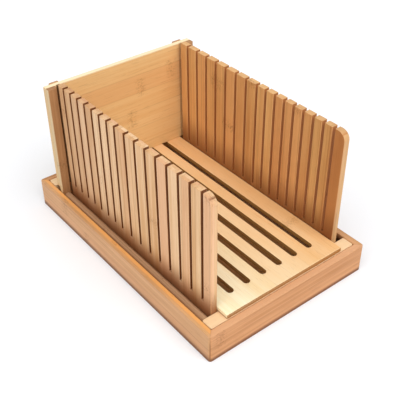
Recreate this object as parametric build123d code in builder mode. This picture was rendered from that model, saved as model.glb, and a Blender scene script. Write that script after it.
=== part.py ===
from build123d import *
import os

# Bread slicer guide of bamboo, in millimetres. The loaf lies along Y, from the front at -Y to the
# back stop at +Y, and its crumbs fall through a slotted board into a tray. The origin is at the
# centre of the tray's underside. Five groups come apart by hand: the crumb tray, the slicer frame
# that stands in it, the slotted board that slides out forwards, the two slotted guides that lift out
# of their channels, and the back stop that lifts out of its pockets.

# Crumb tray: four mitred walls round a floor that is let into grooves
tray_length = 297.0
tray_width = 193.5
tray_height = 31.9
tray_wall = 7.2
tray_corner_radius = 3.0
tray_rim_radius = 1.1
tray_foot_radius = 0.8
floor_thickness = 4.0
floor_recess = 2.5
floor_groove = 3.0

# Slicer frame: two cross rails joined by two grooved runners, which carry the side rails
tray_gap = 0.35
rail_depth = 13.0
rail_top = 32.0
rail_corner_radius = 2.0
rail_edge_chamfer = 0.6
runner_width = 22.8
runner_height = 8.0
channel_depth = 4.5
channel_gap = 0.25
side_rail_width = 9.8
left_side_rail_top = 30.0
right_side_rail_top = 20.0
dowel_radius = 2.0
dowel_length = 20.0

# Slotted board that the loaf lies on
board_width = 143.0
board_thickness = 4.9
board_end_gap = 0.1
board_edge_radius = 0.5
crumb_slot_count = 6
crumb_slot_width = 7.0
crumb_slot_pitch = 19.8
crumb_slot_end_margin = 19.0

# Slotted guides: saw kerfs a thick slice apart in one half and a thin slice apart in the other
guide_thickness = 6.8
guide_length = 238.3
guide_top = 158.0
guide_inner_x = 72.05
guide_front_gap = 0.25
guide_corner_radius = 9.0
guide_edge_chamfer = 0.4
kerf_width = 3.3
kerf_bottom = 40.0
thick_slice = 15.8
thin_slice = 12.8
left_front_slat = 12.0
right_front_slat = 13.7
front_slices = 8
back_slices = 7

# Back stop: a board between two front posts and two rear battens, whose feet stand in the frame
stop_front_y = 111.1
stop_top = 155.0
stop_stick = 5.2
stop_board_gap = 0.3
stop_edge_radius = 0.7
post_width = 9.5
batten_width = 8.8
batten_gap = 0.3
batten_top_radius = 3.0

# Levels and places that follow from the sizes above
tray_floor_top = floor_recess + floor_thickness
inner_half_width = tray_width / 2 - tray_wall
inner_half_length = tray_length / 2 - tray_wall
frame_half_width = inner_half_width - tray_gap
frame_half_length = inner_half_length - tray_gap
rail_inner_y = frame_half_length - rail_depth
runner_top = tray_floor_top + runner_height
channel_floor = runner_top - channel_depth
guide_outer_x = guide_inner_x + guide_thickness
guide_front_y = -rail_inner_y + guide_front_gap
guide_back_y = guide_front_y + guide_length
side_rail_inner_x = frame_half_width - side_rail_width
side_rail_end_y = stop_front_y - channel_gap
board_top = rail_top + board_thickness
board_length = 2 * (frame_half_length - board_end_gap)
stop_board_front_y = stop_front_y + stop_stick
stop_board_back_y = stop_board_front_y + stop_stick
stop_board_bottom = board_top + stop_board_gap

os.makedirs("parts", exist_ok=True)


def save(part, name):
    part.label = name
    export_step(part, f"parts/{name}.step")


# ---------------------------------------------------------------- crumb tray


def tray_wall_part(corners):
    """One mitred wall: the whole rim, cut down to the wedge between two mitres."""
    with BuildPart() as wall:
        with BuildSketch(Plane.XY):
            RectangleRounded(tray_width, tray_length, tray_corner_radius)
            Rectangle(2 * inner_half_width, 2 * inner_half_length, mode=Mode.SUBTRACT)
        extrude(amount=tray_height)
        fillet(wall.faces().sort_by(Axis.Z)[-1].edges(), tray_rim_radius)
        fillet(wall.faces().sort_by(Axis.Z)[0].outer_wire().edges(), tray_foot_radius)
        with BuildSketch(Plane.XY.offset(floor_recess)):
            Rectangle(
                2 * (inner_half_width + floor_groove),
                2 * (inner_half_length + floor_groove),
            )
        extrude(amount=floor_thickness, mode=Mode.SUBTRACT)
        with BuildSketch(Plane.XY):
            Polygon(*corners, align=None)
        extrude(amount=tray_height, mode=Mode.INTERSECT)
    return wall.part


half_w = tray_width / 2
half_l = tray_length / 2
mitre_y = half_l - half_w
tray_wedges = {
    "tray_front_wall": [(-half_w, -half_l), (half_w, -half_l), (0, -mitre_y)],
    "tray_back_wall": [(half_w, half_l), (-half_w, half_l), (0, mitre_y)],
    "tray_left_wall": [(-half_w, half_l), (-half_w, -half_l), (0, -mitre_y), (0, mitre_y)],
    "tray_right_wall": [(half_w, -half_l), (half_w, half_l), (0, mitre_y), (0, -mitre_y)],
}
for wall_name, wedge in tray_wedges.items():
    save(tray_wall_part(wedge), wall_name)

with BuildPart() as tray_floor:
    with BuildSketch(Plane.XY.offset(floor_recess)):
        Rectangle(
            2 * (inner_half_width + floor_groove),
            2 * (inner_half_length + floor_groove),
        )
    extrude(amount=floor_thickness)
save(tray_floor.part, "tray_floor")


# ------------------------------------------------------------- slicer frame

dowel_x = (side_rail_inner_x + frame_half_width) / 2
dowel_z = tray_floor_top + runner_height / 2


def cross_rail_part(side):
    """The rail at the front (side -1) or the back (side 1), bored for the runners' dowels."""
    middle_y = side * (frame_half_length - rail_depth / 2)
    with BuildPart() as rail:
        with BuildSketch(Plane.XY.offset(tray_floor_top)):
            with Locations((0, middle_y)):
                RectangleRounded(2 * frame_half_width, rail_depth, rail_corner_radius)
        extrude(amount=rail_top - tray_floor_top)
        chamfer(rail.faces().sort_by(Axis.Z)[-1].edges(), rail_edge_chamfer)
        with BuildSketch(Plane.XZ.offset(-side * rail_inner_y)):
            with Locations((-dowel_x, dowel_z), (dowel_x, dowel_z)):
                Circle(dowel_radius)
        extrude(amount=-side * dowel_length / 2, mode=Mode.SUBTRACT)
    return rail.part


save(cross_rail_part(-1), "front_rail")
save(cross_rail_part(1), "back_rail")


def runner_part(side):
    """A grooved runner: the guide stands in its channel, the back stop on its plain rear end."""
    with BuildPart() as runner:
        with BuildSketch(Plane.XY.offset(tray_floor_top)):
            with Locations((side * (frame_half_width - runner_width / 2), 0)):
                Rectangle(runner_width, 2 * rail_inner_y)
        extrude(amount=runner_height)
        with BuildSketch(Plane.XY.offset(channel_floor)):
            with Locations((
                side * (guide_inner_x + guide_outer_x) / 2,
                (side_rail_end_y - rail_inner_y) / 2,
            )):
                Rectangle(guide_thickness + 2 * channel_gap, side_rail_end_y + rail_inner_y)
        extrude(amount=channel_depth, mode=Mode.SUBTRACT)
        for end in (-1, 1):
            with BuildSketch(Plane.XZ.offset(-end * rail_inner_y)):
                with Locations((side * dowel_x, dowel_z)):
                    Circle(dowel_radius)
            extrude(amount=end * dowel_length / 2, mode=Mode.SUBTRACT)
    return runner.part


save(runner_part(-1), "left_runner")
save(runner_part(1), "right_runner")


def side_rail_part(side, top):
    """A stick on the outer edge of a runner, with a full round top."""
    round_radius = side_rail_width / 2
    with BuildPart() as side_rail:
        with BuildSketch(Plane.XZ.offset(rail_inner_y)):
            with BuildLine():
                inner_foot = (side * side_rail_inner_x, runner_top)
                outer_foot = (side * frame_half_width, runner_top)
                inner_shoulder = (side * side_rail_inner_x, top - round_radius)
                outer_shoulder = (side * frame_half_width, top - round_radius)
                crown = (side * (side_rail_inner_x + round_radius), top)
                Line(inner_foot, inner_shoulder)
                ThreePointArc(inner_shoulder, crown, outer_shoulder)
                Line(outer_shoulder, outer_foot)
                Line(outer_foot, inner_foot)
            make_face()
        extrude(amount=-(rail_inner_y + side_rail_end_y))
    return side_rail.part


save(side_rail_part(-1, left_side_rail_top), "left_side_rail")
save(side_rail_part(1, right_side_rail_top), "right_side_rail")

with BuildPart() as frame_dowels:
    for end in (-1, 1):
        with BuildSketch(Plane.XZ.offset(-end * rail_inner_y)):
            with Locations((-dowel_x, dowel_z), (dowel_x, dowel_z)):
                Circle(dowel_radius)
        extrude(amount=dowel_length / 2, both=True)
save(frame_dowels.part, "frame_dowels")


# ------------------------------------------------------------ slotted board

with BuildPart() as slotted_board:
    with BuildSketch(Plane.XY.offset(rail_top)):
        Rectangle(board_width, board_length)
        with GridLocations(crumb_slot_pitch, 0, crumb_slot_count, 1):
            SlotOverall(board_length - 2 * crumb_slot_end_margin, crumb_slot_width, rotation=90,
                        mode=Mode.SUBTRACT)
    extrude(amount=board_thickness)
    fillet(slotted_board.faces().sort_by(Axis.Z)[-1].outer_wire().edges(), board_edge_radius)
save(slotted_board.part, "slotted_board")


# ----------------------------------------------------------- slotted guides


def kerf_places(front_slat, front_pitch, back_pitch):
    """Y of each kerf from front to back: the front slices of one pitch, then the back ones."""
    places = [guide_front_y + front_slat]
    for pitch in [front_pitch] * front_slices + [back_pitch] * back_slices:
        places.append(places[-1] + pitch)
    return places


def guide_part(side, kerfs):
    """A guide panel, with the kerfs open at the top and its front top corner rounded."""
    inner_plane = Plane.YZ.offset(side * guide_inner_x)
    with BuildPart() as guide:
        with BuildSketch(inner_plane):
            with BuildLine():
                corner_y = guide_front_y + guide_corner_radius
                corner_z = guide_top - guide_corner_radius
                Line((guide_back_y, channel_floor), (guide_front_y, channel_floor))
                Line((guide_front_y, channel_floor), (guide_front_y, corner_z))
                RadiusArc((guide_front_y, corner_z), (corner_y, guide_top), guide_corner_radius)
                Line((corner_y, guide_top), (guide_back_y, guide_top))
                Line((guide_back_y, guide_top), (guide_back_y, channel_floor))
            make_face()
            kerf_height = guide_top - kerf_bottom
            with Locations(*[(y, kerf_bottom + kerf_height / 2) for y in kerfs]):
                Rectangle(kerf_width, kerf_height, mode=Mode.SUBTRACT)
        extrude(amount=side * guide_thickness)
        for broad_face in guide.faces().filter_by(Axis.X).sort_by(Axis.X):
            chamfer(broad_face.outer_wire().edges(), guide_edge_chamfer)
    return guide.part


left_kerfs = kerf_places(left_front_slat, thick_slice, thin_slice)
right_kerfs = kerf_places(right_front_slat, thin_slice, thick_slice)
save(guide_part(-1, left_kerfs), "left_guide")
save(guide_part(1, right_kerfs), "right_guide")


# ---------------------------------------------------------------- back stop

with BuildPart() as back_board:
    with BuildSketch(Plane.XZ.offset(-stop_board_front_y)):
        with Locations((0, (stop_board_bottom + stop_top) / 2)):
            Rectangle(2 * frame_half_width, stop_top - stop_board_bottom)
    extrude(amount=-stop_stick)
    top_corners = back_board.edges().filter_by(Axis.Y).group_by(Axis.Z)[-1]
    fillet(top_corners, stop_edge_radius)
save(back_board.part, "back_board")


def post_part(side):
    """A stick in front of the back board's outer edge, standing on the runner behind the side rail."""
    middle_x = side * (frame_half_width - post_width / 2)
    with BuildPart() as post:
        with BuildSketch(Plane.XZ.offset(-stop_front_y)):
            with Locations((middle_x, (runner_top + stop_top) / 2)):
                Rectangle(post_width, stop_top - runner_top)
        extrude(amount=-stop_stick)
        top_edges = post.edges().filter_by(Axis.Y).group_by(Axis.Z)[-1].sort_by(Axis.X)
        outer_edge = top_edges[-1] if side > 0 else top_edges[0]
        front_face = post.faces().filter_by(Axis.Y).sort_by(Axis.Y)[0]
        fillet(front_face.outer_wire().edges() + [outer_edge], stop_edge_radius)
    return post.part


save(post_part(-1), "left_post")
save(post_part(1), "right_post")


def rear_batten_part(side):
    """A stick behind the back board, standing on the runner beside the slotted board."""
    middle_x = side * (board_width / 2 + batten_gap + batten_width / 2)
    with BuildPart() as batten:
        with BuildSketch(Plane.XZ.offset(-stop_board_back_y)):
            with Locations((middle_x, (runner_top + stop_top) / 2)):
                Rectangle(batten_width, stop_top - runner_top)
        extrude(amount=-stop_stick)
        rear_face = batten.faces().filter_by(Axis.Y).sort_by(Axis.Y)[-1]
        rear_top = rear_face.edges().filter_by(Axis.X).sort_by(Axis.Z)[-1]
        fillet(rear_top, batten_top_radius)
    return batten.part


save(rear_batten_part(-1), "left_rear_batten")
save(rear_batten_part(1), "right_rear_batten")
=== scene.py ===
import math

import bmesh
import bpy
from mathutils import Matrix, Vector


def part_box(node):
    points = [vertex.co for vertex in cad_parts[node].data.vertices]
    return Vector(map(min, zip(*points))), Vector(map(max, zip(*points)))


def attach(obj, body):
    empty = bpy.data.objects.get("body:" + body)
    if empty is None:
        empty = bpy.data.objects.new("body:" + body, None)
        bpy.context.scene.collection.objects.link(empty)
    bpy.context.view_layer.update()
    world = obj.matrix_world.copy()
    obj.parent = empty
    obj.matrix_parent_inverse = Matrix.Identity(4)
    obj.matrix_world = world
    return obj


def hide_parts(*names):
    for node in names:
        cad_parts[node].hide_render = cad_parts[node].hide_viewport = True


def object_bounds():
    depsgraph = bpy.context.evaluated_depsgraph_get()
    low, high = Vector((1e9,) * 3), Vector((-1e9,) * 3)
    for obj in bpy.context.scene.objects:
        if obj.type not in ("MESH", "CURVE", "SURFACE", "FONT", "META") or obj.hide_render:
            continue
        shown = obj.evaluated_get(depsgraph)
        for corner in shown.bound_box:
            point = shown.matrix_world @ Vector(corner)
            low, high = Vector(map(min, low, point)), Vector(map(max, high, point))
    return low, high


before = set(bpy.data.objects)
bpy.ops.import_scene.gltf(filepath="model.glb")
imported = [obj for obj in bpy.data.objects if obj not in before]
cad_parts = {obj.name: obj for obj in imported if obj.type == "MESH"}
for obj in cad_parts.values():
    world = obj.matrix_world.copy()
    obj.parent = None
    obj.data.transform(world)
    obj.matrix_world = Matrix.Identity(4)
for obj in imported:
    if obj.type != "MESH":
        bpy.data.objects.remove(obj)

# Looks of a bamboo bread slicer guide, in metres. The guides and the slotted board are made again
# with rounder edges. Every other piece keeps its solid, and each has its own laminated bamboo.

cad_box = [list(corner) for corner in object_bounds()]
X, Y, Z = 0, 1, 2
MM = 0.001

# ----------------------------------------------------------------------- sizes

kerf_floor = 40.0 * MM
kerf_width = 3.3 * MM
thick_slice = 15.8 * MM
thin_slice = 12.8 * MM
front_slices = 8.0
back_slices = 7.0
left_front_slat = 12.0 * MM
right_front_slat = 13.7 * MM
channel_top = 28.0 * MM
front_corner = 9.0 * MM
guide_edge = 0.4 * MM

crumb_slots = 6.0
crumb_slot_width = 7.0 * MM
crumb_slot_pitch = 19.8 * MM
board_end_margin = 19.0 * MM
board_edge = 0.35 * MM

tray_wall = 7.2 * MM
tray_left, tray_right = cad_box[0][X], cad_box[1][X]

# ------------------------------------------------------------------ node trees


class Wire:
    """A socket of a node tree. Arithmetic on it adds the Math node that does the sum."""

    def __init__(self, sheet, socket):
        self.sheet = sheet
        self.socket = socket

    def __add__(self, other):
        return self.sheet.sum("ADD", self, other)

    def __sub__(self, other):
        return self.sheet.sum("SUBTRACT", self, other)

    def __rsub__(self, other):
        return self.sheet.sum("SUBTRACT", other, self)

    def __mul__(self, other):
        return self.sheet.sum("MULTIPLY", self, other)

    def __truediv__(self, other):
        return self.sheet.sum("DIVIDE", self, other)

    def __mod__(self, other):
        return self.sheet.sum("MODULO", self, other)

    def __lt__(self, other):
        return self.sheet.sum("LESS_THAN", self, other)

    def __gt__(self, other):
        return self.sheet.sum("GREATER_THAN", self, other)

    __radd__ = __add__
    __rmul__ = __mul__

    def other(self, name):
        """Another output of the same node."""
        return Wire(self.sheet, find(self.socket.node.outputs, name))


def find(sockets, key):
    """A socket by its number, or by its identifier, or by its name."""
    if isinstance(key, int):
        return sockets[key]
    for socket in sockets:
        if socket.identifier == key:
            return socket
    return sockets[key]


class Sheet:
    """A node tree being drawn."""

    def __init__(self, tree):
        self.tree = tree

    def node(self, kind, settings=None, values=None, out=0):
        """Adds a node: its settings first, then the values or wires of its sockets."""
        made = self.tree.nodes.new(kind)
        for name, setting in (settings or {}).items():
            setattr(made, name, setting)
        for key, value in (values or {}).items():
            socket = find(made.inputs, key)
            if isinstance(value, Wire):
                self.tree.links.new(value.socket, socket)
            else:
                socket.default_value = value
        return Wire(self, find(made.outputs, out)) if made.outputs else None

    def sum(self, operation, *values):
        return self.node("ShaderNodeMath", {"operation": operation}, dict(enumerate(values)))

    def least(self, first, second):
        return self.sum("MINIMUM", first, second)

    def most(self, first, second):
        return self.sum("MAXIMUM", first, second)

    def size(self, value):
        """A value without its sign."""
        return self.sum("ABSOLUTE", value)

    def fade(self, value, start, end, shape="SMOOTHSTEP"):
        """0 before start and 1 after end, or the other way round where end is the smaller."""
        return self.node(
            "ShaderNodeMapRange",
            {"interpolation_type": shape},
            {"Value": value, "From Min": start, "From Max": end},
        )

    def mix(self, share, first, second, how="MIX"):
        return self.node(
            "ShaderNodeMix",
            {"data_type": "RGBA", "blend_type": how},
            {"Factor_Float": share, "A_Color": first, "B_Color": second},
            "Result_Color",
        )

    def triple(self, x, y, z):
        return self.node("ShaderNodeCombineXYZ", None, {0: x, 1: y, 2: z})

    def parts(self, vector):
        split = self.node("ShaderNodeSeparateXYZ", None, {0: vector})
        return [split, split.other("Y"), split.other("Z")]

    def noise(self, vector, scale=1.0, detail=2.0):
        return self.node(
            "ShaderNodeTexNoise", None, {"Vector": vector, "Scale": scale, "Detail": detail}, "Fac"
        )

    def chances(self, number, row=0.0):
        """Three random values that belong to a number and a row."""
        chance = self.node(
            "ShaderNodeTexWhiteNoise",
            {"noise_dimensions": "2D"},
            {"Vector": self.triple(number, row, 0.0)},
            "Color",
        )
        split = self.node("ShaderNodeSeparateColor", None, {0: chance})
        return split, split.other("Green"), split.other("Blue")


def paint(code):
    """A colour written as it looks on screen, as the linear values that a shader takes."""
    channels = [int(code[i : i + 2], 16) / 255 for i in (0, 2, 4)]
    return [c / 12.92 if c < 0.04045 else ((c + 0.055) / 1.055) ** 2.4 for c in channels] + [1.0]


# --------------------------------------------------------------------- colours


def tones(light, deep, blush, brown):
    """The colours of a cut: its pale and deep wood, its rosy strips, and its knuckles and flecks, whose
    brown also paints the shade at a foot.
    """
    return {"light": paint(light), "deep": paint(deep), "blush": paint(blush), "brown": paint(brown)}


CREAM = tones("FFF8D8", "FAE8B6", "FCE8BC", "A2692F")
BLOND = tones("F6DEB2", "E8C294", "EEC69A", "8E5B2E")
GOLD = tones("FBD69A", "ECB674", "EEB67C", "A2652F")
HONEY = tones("D8AC70", "BC8A50", "C48C58", "7A481F")
PEACH = tones("FBD8AC", "D6A26C", "E4AC82", "7C3E12")
AMBER = tones("F2C07E", "C6864C", "DA965E", "74401C")
ROSE = tones("DCAA7A", "B5804E", "CA8E64", "6E3F20")
RUST = tones("DEA372", "B87C48", "CC8854", "6A3A18")
TAN = tones("CA9C6C", "A6754C", "B28058", "64401F")
SMOKE = tones("C69E7A", "A47C58", "B2886C", "5E3A1E")
# Saw browns: the saw cuts' own brown and painted shade inside the kerfs; SAW_BROWN_AND_SHADE also paints
# the shade in the side rails' valleys
SAW_BROWN_AND_SHADE = paint("743804")
PALE_SAW_BROWN_AND_SHADE = paint("B87640")
# A painted highlight on a guide's top and front edge
PALE_CREST_HIGHLIGHT = paint("E8C08A")
KHAKI_FLANK = paint("DEC698")
SHADE_BROWN = paint("2E1404")
# The slot walls' brown, partly painted shade inside the slots
SLOT_BROWN_AND_SHADE = paint("9E7034")
GLUE_BROWN = paint("6E4220")
# Painted highlights on the top edges
ORANGE_RIM_HIGHLIGHT = paint("F2AE62")
CREAM_RIM_HIGHLIGHT = paint("FFF0CC")
PINK_RIM_HIGHLIGHT = paint("DEAA80")
# Slow darkenings: painted shade, in part the wood's own change of tone
PINK_TONE_AND_SHADE = paint("E2D6CC")
GREY_TONE_AND_SHADE = paint("DCCCBC")
TAN_TONE_AND_SHADE = paint("ECC09A")

# ---------------------------------------------------------------------- bamboo

# What one step of a piece's seed adds: to its row of strips, as a share of a strip's width, and to
# the numbers that its strips and slats draw their random values by
strip_shift = 0.47
strip_seed = 13.7
slat_seed = 5.3

# How much of each painted shade, and of the saw cuts' brown with its painted shade, shows where it is
# fullest
foot_shade = 0.86
covered_shade = 0.95
inside_shade = 0.85
valley_shade = 0.85
saw_shade = 0.92


class Cut:
    """A piece's cut of bamboo: where a point lies in the piece, and which way it faces."""

    def __init__(self, sheet, node, grain, across):
        through = 3 - grain - across
        self.sheet = sheet
        self.low, self.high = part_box(node)
        self.place = sheet.node("ShaderNodeTexCoord", out="Object")
        self.axes = sheet.parts(self.place)
        self.run, self.side, self.depth = [self.axes[i] for i in (grain, across, through)]
        thickness = self.high[through] - self.low[through]
        self.depth_share = (self.depth - self.low[through]) / thickness
        normal = sheet.node("ShaderNodeNewGeometry", out="Normal")
        self.facing = [sheet.size(part) for part in sheet.parts(normal)]
        self.near = [self.inset(self.low, self.high, i) for i in (X, Y, Z)]

    def inset(self, low, high, axis):
        """How far a point is inside a box, from the nearer of its two sides on an axis."""
        return self.sheet.least(self.axes[axis] - low[axis], high[axis] - self.axes[axis])

    def figure(self, along, around, shift=0.0, side=None, detail=2.0):
        """Noise drawn out along the grain: so many waves to a metre along it, and across it."""
        side = self.side if side is None else side
        waves = self.sheet.triple(self.run * along + shift, side * around, self.depth * around)
        return self.sheet.noise(waves, 1.0, detail)

    def worn_edge(self):
        """1 on the piece's edges: there the middle one of the three distances inwards is small."""
        x, y, z = self.near
        lower, upper = self.sheet.least(x, y), self.sheet.most(x, y)
        middle = self.sheet.most(lower, self.sheet.least(upper, z))
        return self.sheet.fade(middle, 1.4 * MM, 0.2 * MM)


def glued_strips(cut, strip, seed, layered, slats):
    """Strips side by side, in one or two layers. Each has its own tone, hue and phase.

    In a sawn panel the slats have their own tones too, and they count for more than the strips'.
    """
    sheet = cut.sheet
    layer = (cut.depth_share > 0.5) if layered else 0.0
    layer_slip = sheet.chances(layer + seed)[0] * 0.6
    strips = cut.side / strip + layer_slip + strip_shift * seed
    number = sheet.sum("FLOOR", strips)
    tone, hue, phase = sheet.chances(number + strip_seed * seed, layer)
    if slats:
        slat = sheet.node("ShaderNodeAttribute", {"attribute_name": "slat"}, None, "Fac")
        slat_tone, slat_hue, slat_phase = sheet.chances(slat + slat_seed * seed, layer)
        tone = tone * 0.35 + slat_tone * 0.65
        hue = hue * 0.3 + slat_hue * 0.7
        phase = phase + slat_phase
    return strips, tone, hue, phase


def knuckle_marks(cut, wander, phase, strip, cane, knuckles):
    """Knuckles, once in a cane's length in every strip, and at the places listed.

    A knuckle is a wide halo of brown specks round a thin line. Both come back, the halo first.
    """
    sheet = cut.sheet
    wobble = (wander - 0.5) * (6.0 * MM)
    canes = sheet.sum("FRACT", cut.run / cane + phase * 7.0) - 0.5
    reach = sheet.size(canes * cane + wobble)
    for knuckle_run, knuckle_side in knuckles:
        other_strip = sheet.size(cut.side - knuckle_side) > strip * 0.5
        reach = sheet.least(reach, sheet.size(cut.run - knuckle_run + wobble) + other_strip)
    halo = sheet.fade(reach, 9.5 * MM, 1.0 * MM)
    line = sheet.fade(reach, 1.6 * MM, 0.3 * MM)
    speck = sheet.fade(cut.figure(along=420.0, around=760.0), 0.49, 0.63)
    return halo, halo * (0.04 + speck * 0.3) + line * 0.08


def paint_places(
    cut,
    cloud,
    colour,
    brown,
    drift=None,
    rim_highlight=None,
    rim_part=None,
    foot=None,
    channel=None,
    crest_highlight=None,
    flank=None,
    covered=None,
    crease=None,
    inside=None,
    valleys=None,
):
    """Tones at fixed places of a piece, most of them painted shade that the soft light here leaves out,
    and some painted highlights.

    drift     axis, start, end and colour of a slow darkening: painted shade, in part the wood's own change of tone
    rim       colour of the painted highlight on the top edge, and rim_part is the axis, start and end that it keeps to
    foot      height under which painted shade makes the wood brown, and channel the height under which it fades away
    crest     colour of the painted highlight on the top and on the front edge
    flank     colour of the outer face
    covered   end of the outer face that another piece shades, along Y
    crease    two places out from the middle of the front face, with a dark line of painted shade between them
    inside    axis and place of a face that has painted shade below its top edge
    valleys   axis whose two sides have painted shade along the top
    """
    sheet, axes, low, high = cut.sheet, cut.axes, cut.low, cut.high
    out = sheet.size(axes[X])
    ragged = (cloud - 0.5) * 0.3
    outer_face = max(abs(low.x), abs(high.x)) - 1.0 * MM
    # Painted shade that darkens the piece slowly along an axis, in part the wood's own change of tone
    if drift is not None:
        axis, start, end, far_colour = drift
        share = sheet.fade(axes[axis] + ragged * (end - start), start, end, "LINEAR")
        colour = sheet.mix(share, colour, far_colour, "MULTIPLY")
    # A painted highlight along the top edge
    if rim_highlight is not None:
        share = sheet.fade(axes[Z], high.z - 1.4 * MM, high.z - 0.4 * MM)
        if rim_part is not None:
            axis, start, end = rim_part
            share = share * sheet.fade(axes[axis], start, end)
        colour = sheet.mix(share * (0.45 + cloud * 0.6), colour, rim_highlight)
    # Painted shade at the foot, fading out below the channel
    if foot is not None:
        foot_height = foot - low.z
        full_shade = low.z + 0.35 * foot_height
        share = sheet.fade(axes[Z] + ragged * foot_height, foot, full_shade)
        if channel is not None:
            share = share * sheet.fade(axes[Z], channel - 8.0 * MM, channel)
        colour = sheet.mix(share * foot_shade, colour, brown)
    # A painted highlight on the top and on the front edge
    if crest_highlight is not None:
        top = sheet.fade(cut.facing[Z], 0.3, 0.7) * (axes[Z] > high.z - front_corner - 1.0 * MM)
        front = sheet.fade(cut.facing[Y], 0.3, 0.7) * (axes[Y] < low.y + 2.0 * MM)
        colour = sheet.mix(sheet.most(top, front) * (0.2 + cloud * 0.6), colour, crest_highlight)
    if flank is not None:
        share = sheet.fade(cut.facing[X], 0.5, 0.9) * (out > outer_face)
        colour = sheet.mix(share * (0.6 + cloud * 0.3), colour, flank)
    if covered is not None:
        share = sheet.fade(axes[Y], covered - 2.2 * MM, covered - 1.2 * MM)
        share = share * cut.facing[X] * (out > outer_face)
        colour = sheet.mix(share * covered_shade, colour, SHADE_BROWN)
    # Painted shade in the gaps beside the posts
    if crease is not None:
        start, end = crease
        stronger_on_the_left = 0.6 - sheet.sum("SIGN", axes[X]) * 0.3
        share = sheet.fade(out, start, start + 1.0 * MM) * sheet.fade(out, end + 1.0 * MM, end)
        share = share * (axes[Y] < low.y + 1.0 * MM)
        colour = sheet.mix(share * stronger_on_the_left, colour, SHADE_BROWN)
    # Painted shade down the inner face, below the top
    if inside is not None:
        axis, face_place = inside
        share = sheet.fade(sheet.size(axes[axis] - face_place), 1.5 * MM, 0.5 * MM)
        share = share * sheet.fade(axes[Z], high.z - 1.0 * MM, high.z - 7.0 * MM)
        colour = sheet.mix(share * inside_shade, colour, SHADE_BROWN)
    # Painted shade in the valleys along both sides
    if valleys is not None:
        share = sheet.fade(cut.near[valleys], 3.4 * MM, 0.4 * MM)
        share = share * sheet.fade(axes[Z], high.z - 4.0 * MM, high.z)
        colour = sheet.mix(share * valley_shade, colour, SAW_BROWN_AND_SHADE)
    return colour


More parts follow.
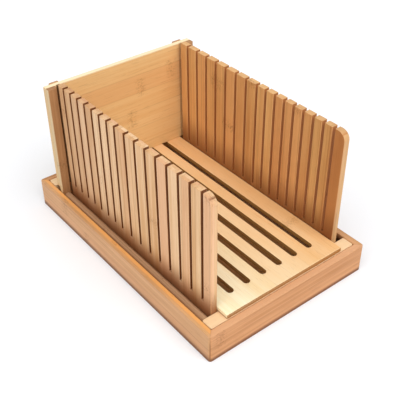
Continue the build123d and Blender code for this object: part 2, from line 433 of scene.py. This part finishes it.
def bamboo(
    name,
    wood,
    node,
    grain,
    across,
    strip,
    seed,
    contrast=1.0,
    cane=0.42,
    knuckles=(),
    layered=True,
    slats=False,
    sawn=None,
    saw_and_shade_colour=SAW_BROWN_AND_SHADE,
    glued=0.16,
    ends=0.25,
    mitred=False,
    **places,
):
    """Laminated bamboo for one piece. Its strips run along the grain axis, in a row along across.

    cane is the length between knuckles, and sawn is the axis that the saw cuts face. glued and ends
    are how strong the glue lines and the end grain are, and places is what paint_places takes.
    """
    material = bpy.data.materials.new(name)
    material.use_nodes = True
    sheet = Sheet(material.node_tree)
    shader = sheet.tree.nodes["Principled BSDF"]
    cut = Cut(sheet, node, grain, across)
    strips, tone, hue, phase = glued_strips(cut, strip, seed, layered, slats)
    wander = sheet.noise(cut.place, 160.0)
    halo, knuckle = knuckle_marks(cut, wander, phase, strip, cane, knuckles)

    # Fibres run along the grain, and swerve at a knuckle
    swerved = cut.side + halo * (wander - 0.5) * (4.0 * MM)
    shift = phase * 40.0
    fibre = cut.figure(along=9.0, around=1300.0, shift=shift, side=swerved)
    streak = cut.figure(along=5.0, around=320.0, shift=shift, side=swerved, detail=3.0)
    cloud = cut.figure(along=11.0, around=45.0, shift=shift)
    fleck = cut.figure(along=60.0, around=1500.0, shift=shift)

    deepness = 0.5
    for figure, weight in (
        (tone, 0.85 * contrast),
        (streak, 1.3 * contrast),
        (cloud, 0.9 * contrast),
        (fibre, 0.7),
    ):
        deepness = deepness + (figure - 0.5) * weight
    deepness = sheet.most(0.0, sheet.least(1.0, deepness))
    colour = sheet.mix(deepness, wood["light"], wood["deep"])
    colour = sheet.mix(sheet.fade(hue, 0.4, 1.0) * 0.65, colour, wood["blush"])
    colour = paint_places(cut, cloud, colour, wood["brown"], **places)
    colour = sheet.mix(sheet.fade(fleck, 0.62, 0.72) * 0.25, colour, wood["brown"])
    colour = sheet.mix(knuckle, colour, wood["brown"])

    # Glue lines between strips, and a mitred corner's line, which is darker below: partly a dark joint,
    # partly painted shade on the rounded corner
    border = sheet.sum("FRACT", strips)
    border_distance = sheet.least(border, 1.0 - border) * strip
    glue = sheet.fade(border_distance, 0.9 * MM, 0.1 * MM) * glued
    if mitred:
        from_side, from_end = [cut.inset(*cad_box, axis) for axis in (X, Y)]
        seam = sheet.fade(sheet.size(from_side - from_end), 1.1 * MM, 0.3 * MM)
        lower_part = sheet.fade(cut.axes[Z], 28.0 * MM, 18.0 * MM)
        glue = sheet.most(glue, seam * (0.2 + 0.5 * lower_part))
    colour = sheet.mix(glue, colour, GLUE_BROWN)

    # Handled edges are smoother and a little deeper in colour, and end grain is brown
    edge = cut.worn_edge()
    colour = sheet.mix(edge * (0.1 + 0.3 * cloud), colour, wood["deep"])
    end_grain = sheet.fade(cut.facing[grain], 0.6, 0.95)
    end_grain = end_grain * sheet.fade(cut.near[grain], 2.0 * MM, 1.0 * MM)
    colour = sheet.mix(end_grain * (0.4 + fleck) * ends, colour, wood["brown"])
    roughness = 0.47 + (fibre - 0.5) * 0.2 + knuckle * 0.2 - edge * 0.07 + end_grain * 0.1

    # Saw cuts are rough and brown, and their brown is also painted shade inside the kerfs and slots.
    # They lie further in than the piece's own ends
    if sawn is not None:
        saw_cut = sheet.fade(cut.facing[sawn], 0.4, 0.8)
        saw_cut = saw_cut * sheet.fade(cut.near[sawn], 2.0 * MM, 3.0 * MM)
        colour = sheet.mix(saw_cut * (saw_shade + (fibre - 0.5) * 0.2), colour, saw_and_shade_colour)
        roughness = roughness + saw_cut * 0.2

    height = fibre * 0.6 + streak * 0.5 - knuckle * 0.5 - glue * 1.5
    relief = {"Strength": 0.3, "Distance": 0.3 * MM, "Height": height}
    bump = sheet.node("ShaderNodeBump", None, relief, "Normal")
    for socket, wire in (("Base Color", colour), ("Roughness", roughness), ("Normal", bump)):
        sheet.tree.links.new(wire.socket, shader.inputs[socket])
    shader.inputs["IOR"].default_value = 1.46
    shader.inputs["Specular IOR Level"].default_value = 0.3
    return material


# --------------------------------------------------- panels cut by a row of slots


def new_tree(name, inputs):
    """An empty Geometry Nodes tree with named inputs, and one mesh as its result."""
    tree = bpy.data.node_groups.new(name, "GeometryNodeTree")
    for label, kind in inputs.items():
        tree.interface.new_socket(name=label, in_out="INPUT", socket_type="NodeSocket" + kind)
    tree.interface.new_socket(name="Panel", in_out="OUTPUT", socket_type="NodeSocketGeometry")
    sheet = Sheet(tree)
    first = sheet.node("NodeGroupInput")
    given = {label: first.other(label) for label in inputs}
    return sheet, given


def cells(sheet, columns, rows):
    """A flat grid, with the column and row numbers of its points and of its faces."""
    grid = sheet.node("GeometryNodeMeshGrid", None, {"Vertices X": columns, "Vertices Y": rows})
    index = sheet.node("GeometryNodeInputIndex")
    point = (sheet.sum("FLOOR", (index + 0.5) / rows), index % rows)
    face = (sheet.sum("FLOOR", (index + 0.5) / (rows - 1)), index % (rows - 1))
    return grid, point, face


def slot_sides(sheet, column):
    """Each slot has two columns of points: the slot's number, and -1 or 1 for the side."""
    return sheet.sum("FLOOR", (column - 0.5) / 2.0), 1.0 - (column % 2.0) * 2.0


def with_ends(along, column, columns, length):
    """Puts the first column of points at 0 and the last one at the panel's length."""
    first = column < 0.5
    last = column > columns - 1.5
    return along * (1.0 - first) * (1.0 - last) + length * last


def cut_and_thicken(sheet, given, grid, place, face_column, slot_rows, offset):
    """Moves the grid's points to their places, takes the slots out and gives the panel its thickness.

    Every face keeps the number of its slat, which the bamboo reads.
    """
    gone = (face_column % 2.0) * slot_rows
    slat = sheet.sum("FLOOR", (face_column + 0.5) / 2.0)
    moved = sheet.node("GeometryNodeSetPosition", None, {"Geometry": grid, "Position": place})
    numbered = sheet.node(
        "GeometryNodeStoreNamedAttribute",
        {"data_type": "FLOAT", "domain": "FACE"},
        {"Geometry": moved, "Name": "slat", "Value": slat},
    )
    flat = sheet.node(
        "GeometryNodeDeleteGeometry", {"domain": "FACE"}, {"Geometry": numbered, "Selection": gone}
    )
    walls = sheet.node(
        "GeometryNodeExtrudeMesh",
        {"mode": "FACES"},
        {"Mesh": flat, "Offset": offset, "Offset Scale": 1.0, "Individual": False},
    )
    back = sheet.node("GeometryNodeFlipFaces", None, {"Mesh": flat})
    both = sheet.node("GeometryNodeJoinGeometry")
    for part in (walls, back):
        sheet.tree.links.new(part.socket, both.socket.node.inputs[0])
    closed = sheet.node("GeometryNodeMergeByDistance", None, {"Geometry": both, "Distance": 1e-5})
    plain = sheet.node("GeometryNodeRealizeInstances", None, {"Geometry": closed})
    painted = sheet.node(
        "GeometryNodeSetMaterial", None, {"Geometry": plain, "Material": given["Wood"]}
    )
    sheet.node("NodeGroupOutput", None, {"Panel": painted})


def from_corner(sheet, corner, x, y, z):
    return sheet.node(
        "ShaderNodeVectorMath", {"operation": "ADD"}, {0: corner, 1: sheet.triple(x, y, z)}
    )


def guide_tree():
    """A guide: its kerfs are one pitch apart in the front half, and another in the back half."""
    sheet, given = new_tree(
        "guide_panel",
        {
            "Foot": "Vector",
            "Length": "Float",
            "Height": "Float",
            "Thickness": "Float",
            "Kerf Floor": "Float",
            "Kerf Width": "Float",
            "Front Slat": "Float",
            "Front Pitch": "Float",
            "Back Pitch": "Float",
            "Front Slices": "Float",
            "Back Slices": "Float",
            "Wood": "Material",
        },
    )
    columns = (given["Front Slices"] + given["Back Slices"] + 2.0) * 2.0
    grid, (column, row), (face_column, face_row) = cells(sheet, columns, 3)
    kerf, far_side = slot_sides(sheet, column)
    along = (
        given["Front Slat"]
        + given["Front Pitch"] * sheet.least(kerf, given["Front Slices"])
        + given["Back Pitch"] * sheet.most(kerf - given["Front Slices"], 0.0)
        + given["Kerf Width"] * far_side * 0.5
    )
    along = with_ends(along, column, columns, given["Length"])
    up = given["Kerf Floor"] * (row > 0.5) * (row < 1.5) + given["Height"] * (row > 1.5)
    place = from_corner(sheet, given["Foot"], 0.0, along, up)
    offset = sheet.triple(given["Thickness"], 0.0, 0.0)
    cut_and_thicken(sheet, given, grid, place, face_column, face_row > 0.5, offset)
    return sheet.tree


def board_tree():
    """The board that the loaf lies on, with its row of crumb slots."""
    sheet, given = new_tree(
        "board_panel",
        {
            "Corner": "Vector",
            "Width": "Float",
            "Length": "Float",
            "Thickness": "Float",
            "Slots": "Float",
            "Slot Width": "Float",
            "Slot Pitch": "Float",
            "End Margin": "Float",
            "Wood": "Material",
        },
    )
    columns = (given["Slots"] + 1.0) * 2.0
    grid, (column, row), (face_column, face_row) = cells(sheet, columns, 4)
    slot, far_side = slot_sides(sheet, column)
    sideways = (
        given["Width"] * 0.5
        + given["Slot Pitch"] * (slot - (given["Slots"] - 1.0) * 0.5)
        + given["Slot Width"] * far_side * 0.5
    )
    sideways = with_ends(sideways, column, columns, given["Width"])
    along = (
        given["End Margin"] * (row > 0.5) * (row < 1.5)
        + (given["Length"] - given["End Margin"]) * (row > 1.5) * (row < 2.5)
        + given["Length"] * (row > 2.5)
    )
    place = from_corner(sheet, given["Corner"], sideways, along, 0.0)
    offset = sheet.triple(0.0, 0.0, given["Thickness"])
    slot_rows = (face_row > 0.5) * (face_row < 1.5)
    cut_and_thicken(sheet, given, grid, place, face_column, slot_rows, offset)
    return sheet.tree


def grow(name, tree, sizes):
    """Runs a tree on an empty object, and keeps its result as a plain mesh."""
    piece = bpy.data.objects.new(name, bpy.data.meshes.new(name))
    bpy.context.scene.collection.objects.link(piece)
    step = piece.modifiers.new("panel", "NODES")
    step.node_group = tree
    for item in tree.interface.items_tree:
        if item.name in sizes:
            step[item.identifier] = sizes[item.name]
    depsgraph = bpy.context.evaluated_depsgraph_get()
    mesh = bpy.data.meshes.new_from_object(piece.evaluated_get(depsgraph), depsgraph=depsgraph)
    piece.modifiers.clear()
    mesh.materials.clear()
    mesh.materials.append(sizes["Wood"])
    mesh.polygons.foreach_set("material_index", [0] * len(mesh.polygons))
    piece.data = mesh
    return piece


def ease(piece, chosen, radius, steps):
    """Rounds the chosen edges of a piece, where its faces meet at more than a small angle.

    Only the rounded strips are shaded smooth.
    """
    small_angle = 0.6
    mesh = bmesh.new()
    mesh.from_mesh(piece.data)
    bmesh.ops.recalc_face_normals(mesh, faces=mesh.faces)
    edges = [e for e in mesh.edges if e.calc_face_angle(0.0) > small_angle and chosen(e)]
    eased = bmesh.ops.bevel(
        mesh, geom=edges, offset=radius, segments=steps, profile=0.5, affect="EDGES", clamp_overlap=True
    )
    for face in eased["faces"]:
        face.smooth = True
    mesh.to_mesh(piece.data)
    mesh.free()


def along_axis(edge, axis):
    run = edge.verts[0].co - edge.verts[1].co
    return abs(run[axis]) > 0.99 * run.length


# --------------------------------------------------------------------- guides

guide_panel = guide_tree()
# In both looks foot is painted shade and drift a slow darkening that is partly painted shade; the right
# guide's crest is a painted highlight
left_look = {
    "knuckles": [(155.3 * MM, -128.5 * MM)],
    "contrast": 0.9,
    "foot": 60.0 * MM,
    "drift": (Y, -20.0 * MM, 100.0 * MM, PINK_TONE_AND_SHADE),
}
right_look = {
    "knuckles": [(134.0 * MM, 49.6 * MM), (93.0 * MM, 30.0 * MM)],
    "contrast": 0.85,
    "foot": 78.0 * MM,
    "drift": (Y, -70.0 * MM, -122.0 * MM, GREY_TONE_AND_SHADE),
    "saw_and_shade_colour": PALE_SAW_BROWN_AND_SHADE,
    "crest_highlight": PALE_CREST_HIGHLIGHT,
}
for side, front_slat, front_pitch, back_pitch, wood, seed, look in (
    ("left", left_front_slat, thick_slice, thin_slice, PEACH, 3.0, left_look),
    ("right", right_front_slat, thin_slice, thick_slice, AMBER, 8.0, right_look),
):
    low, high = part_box(side + "_guide")
    guide_bamboo = bamboo(
        side + "_guide_bamboo",
        wood,
        side + "_guide",
        grain=Z,
        across=Y,
        strip=18.5 * MM,
        seed=seed,
        cane=0.9,
        slats=True,
        sawn=Y,
        ends=0.1,
        channel=channel_top,
        covered=high.y,
        **look,
    )
    guide = grow(
        side + "_slats",
        guide_panel,
        {
            "Foot": low,
            "Length": high.y - low.y,
            "Height": high.z - low.z,
            "Thickness": high.x - low.x,
            "Kerf Floor": kerf_floor - low.z,
            "Kerf Width": kerf_width,
            "Front Slat": front_slat,
            "Front Pitch": front_pitch,
            "Back Pitch": back_pitch,
            "Front Slices": front_slices,
            "Back Slices": back_slices,
            "Wood": guide_bamboo,
        },
    )
    top_front = Vector((low.y, high.z))
    at_top_front = lambda e: along_axis(e, X) and (e.verts[0].co.yz - top_front).length < MM
    ease(guide, at_top_front, front_corner, 10)
    ease(guide, lambda e: not along_axis(e, X), guide_edge, 2)
    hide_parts(side + "_guide")
    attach(guide, side + "_guide")

# -------------------------------------------------------------- slotted board

low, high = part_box("slotted_board")
board_bamboo = bamboo(
    "loaf_board_bamboo",
    CREAM,
    "slotted_board",
    grain=Y,
    across=X,
    strip=21.0 * MM,
    seed=5.0,
    contrast=0.8,
    cane=3.0,
    sawn=X,
    saw_and_shade_colour=SLOT_BROWN_AND_SHADE,
    glued=0.05,
    ends=0.9,
    # Painted shadow on the lower part of the board's edges, and a slow darkening to the right that is
    # partly painted shade
    foot=low.z + 2.4 * MM,
    drift=(X, low.x, high.x, TAN_TONE_AND_SHADE),
)
board = grow(
    "loaf_board",
    board_tree(),
    {
        "Corner": low,
        "Width": high.x - low.x,
        "Length": high.y - low.y,
        "Thickness": high.z - low.z,
        "Slots": crumb_slots,
        "Slot Width": crumb_slot_width,
        "Slot Pitch": crumb_slot_pitch,
        "End Margin": board_end_margin,
        "Wood": board_bamboo,
    },
)
inside_rim = lambda e: low.x + MM < e.verts[0].co.x < high.x - MM
ease(board, lambda e: along_axis(e, Z) and inside_rim(e), 0.49 * crumb_slot_width, 8)
ease(board, lambda e: not along_axis(e, Z), board_edge, 2)
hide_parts("slotted_board")
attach(board, "slotted_board")

# -------------------------------------------------- pieces that keep their solid

wall_strip = 19.0 * MM
slim_strip = 20.0 * MM
floor_strip = 21.0 * MM
stop_strip = 21.5 * MM
broad_strip = 60.0 * MM
one_layer_look = {"contrast": 0.7, "layered": False}
rail_look = {**one_layer_look, "cane": 3.0}
post_look = {**one_layer_look, "flank": KHAKI_FLANK}
# In the tray and back board looks each rim is a painted highlight, and foot, inside and crease are
# painted shade
front_wall_look = {
    "mitred": True,
    "cane": 3.0,
    "rim_highlight": PINK_RIM_HIGHLIGHT,
    "foot": 6.0 * MM,
    "knuckles": [(-85.0 * MM, 22.0 * MM)],
}
left_wall_look = {
    "mitred": True,
    "rim_highlight": ORANGE_RIM_HIGHLIGHT,
    "rim_part": (X, tray_left + 2.0 * MM, tray_left + 4.0 * MM),
    "foot": 8.0 * MM,
}
right_wall_look = {"mitred": True, "inside": (X, tray_right - tray_wall)}
back_board_look = {
    "contrast": 0.6,
    "cane": 3.0,
    "glued": 0.1,
    "flank": KHAKI_FLANK,
    "crease": (73.0 * MM, 77.0 * MM),
    "rim_highlight": CREAM_RIM_HIGHLIGHT,
    "knuckles": [(21.5 * MM, 119.0 * MM), (7.0 * MM, 84.0 * MM), (62.0 * MM, 129.0 * MM)],
}
# Each piece's wood, the axes of its grain and of its row of strips, a strip's width, and its seed
finishes = {
    "tray_front_wall": (RUST, X, Z, wall_strip, 1.0, front_wall_look),
    "tray_back_wall": (ROSE, X, Z, wall_strip, 2.0, {"mitred": True}),
    "tray_left_wall": (ROSE, Y, Z, wall_strip, 4.0, left_wall_look),
    "tray_right_wall": (ROSE, Y, Z, wall_strip, 6.0, right_wall_look),
    "tray_floor": (HONEY, Y, X, floor_strip, 7.0, {}),
    "front_rail": (BLOND, X, Y, broad_strip, 9.0, rail_look),
    "back_rail": (BLOND, X, Y, broad_strip, 10.0, rail_look),
    "left_runner": (BLOND, Y, X, slim_strip, 11.0, {}),
    "right_runner": (BLOND, Y, X, slim_strip, 12.0, {}),
    # The side rails' valleys are painted shade
    "left_side_rail": (SMOKE, Y, Z, slim_strip, 13.0, {"valleys": X}),
    "right_side_rail": (SMOKE, Y, Z, slim_strip, 14.0, {"valleys": X}),
    "frame_dowels": (BLOND, Y, X, slim_strip, 15.0, {}),
    "back_board": (GOLD, X, Z, stop_strip, 16.0, back_board_look),
    "left_post": (TAN, Z, Y, broad_strip, 17.0, post_look),
    "right_post": (TAN, Z, Y, broad_strip, 18.0, post_look),
    "left_rear_batten": (ROSE, Z, X, slim_strip, 19.0, {}),
    "right_rear_batten": (ROSE, Z, X, slim_strip, 20.0, {}),
}
for node, (wood, grain, across, strip, seed, look) in finishes.items():
    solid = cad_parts[node]
    solid.data.materials.clear()
    solid.data.materials.append(bamboo(node + "_bamboo", wood, node, grain, across, strip, seed, **look))

# ------------------------------------------------------- floor, light and camera

floor_half = 6.0
floor_corners = [(x * floor_half, y * floor_half, 0) for x, y in ((-1, -1), (1, -1), (1, 1), (-1, 1))]
floor_mesh = bpy.data.meshes.new("floor")
floor_mesh.from_pydata(floor_corners, [], [(0, 1, 2, 3)])
floor = bpy.data.objects.new("floor", floor_mesh)
bpy.context.scene.collection.objects.link(floor)
paper = bpy.data.materials.new("white_paper")
paper.use_nodes = True
pure_white = (1.0, 1.0, 1.0, 1.0)
paper_white = (0.94, 0.96, 0.99, 1.0)
paper_glow = 0.14
sheet = Sheet(paper.node_tree)
sheet.tree.nodes.clear()
seen = sheet.node("ShaderNodeLightPath", out="Is Camera Ray")
matt = sheet.node("ShaderNodeBsdfDiffuse", None, {"Color": paper_white})
glow = sheet.node("ShaderNodeEmission", None, {"Color": pure_white, "Strength": 1.0})
blend = sheet.node("ShaderNodeMixShader", None, {0: seen * paper_glow, 1: matt, 2: glow})
sheet.node("ShaderNodeOutputMaterial", None, {"Surface": blend})
floor_mesh.materials.append(paper)

world = bpy.data.worlds.new("studio")
bpy.context.scene.world = world
world.use_nodes = True
sky_level = 0.5
sheet = Sheet(world.node_tree)
sheet.tree.nodes.clear()
seen = sheet.node("ShaderNodeLightPath", out="Is Camera Ray")
white = sheet.most(seen, seen.other("Is Glossy Ray"))
sky = sheet.node(
    "ShaderNodeBackground",
    None,
    {"Color": pure_white, "Strength": sky_level + white * (1.0 - sky_level)},
)
sheet.node("ShaderNodeOutputWorld", None, {"Surface": sky})


def lamp(name, azimuth, elevation, energy, softness):
    """A soft sun that shines from an azimuth and elevation. Its angles are in degrees."""
    light = bpy.data.lights.new(name, "SUN")
    light.energy = energy
    light.angle = math.radians(softness)
    shine = bpy.data.objects.new(name, light)
    a, e = math.radians(azimuth), math.radians(elevation)
    source = Vector((math.sin(a) * math.cos(e), -math.cos(a) * math.cos(e), math.sin(e)))
    shine.rotation_mode = "QUATERNION"
    shine.rotation_quaternion = source.to_track_quat("Z", "Y")
    bpy.context.scene.collection.objects.link(shine)


lamp("left_softbox", azimuth=-75.0, elevation=58.0, energy=1.15, softness=45.0)
lamp("front_softbox", azimuth=6.0, elevation=50.0, energy=1.4, softness=45.0)

camera_azimuth = math.radians(-38.08)
camera_elevation = math.radians(37.09)
camera_roll = math.radians(-0.4517)
camera_place = (-0.36264, -0.47577, 0.49729)
lens = bpy.data.cameras.new("camera")
lens.lens = 65.69
lens.sensor_width = 36.0
camera = bpy.data.objects.new("camera", lens)
ca, sa = math.cos(camera_azimuth), math.sin(camera_azimuth)
ce, se = math.cos(camera_elevation), math.sin(camera_elevation)
cr, sr = math.cos(camera_roll), math.sin(camera_roll)
back = Vector((sa * ce, -ca * ce, se))
level = Vector((ca, sa, 0.0))
upright = back.cross(level)
right = cr * level + sr * upright
up = cr * upright - sr * level
turn = Matrix((right, up, back)).transposed().to_4x4()
camera.matrix_world = Matrix.Translation(camera_place) @ turn
bpy.context.scene.collection.objects.link(camera)
bpy.context.scene.camera = camera
bpy.context.scene.view_settings.view_transform = "Standard"
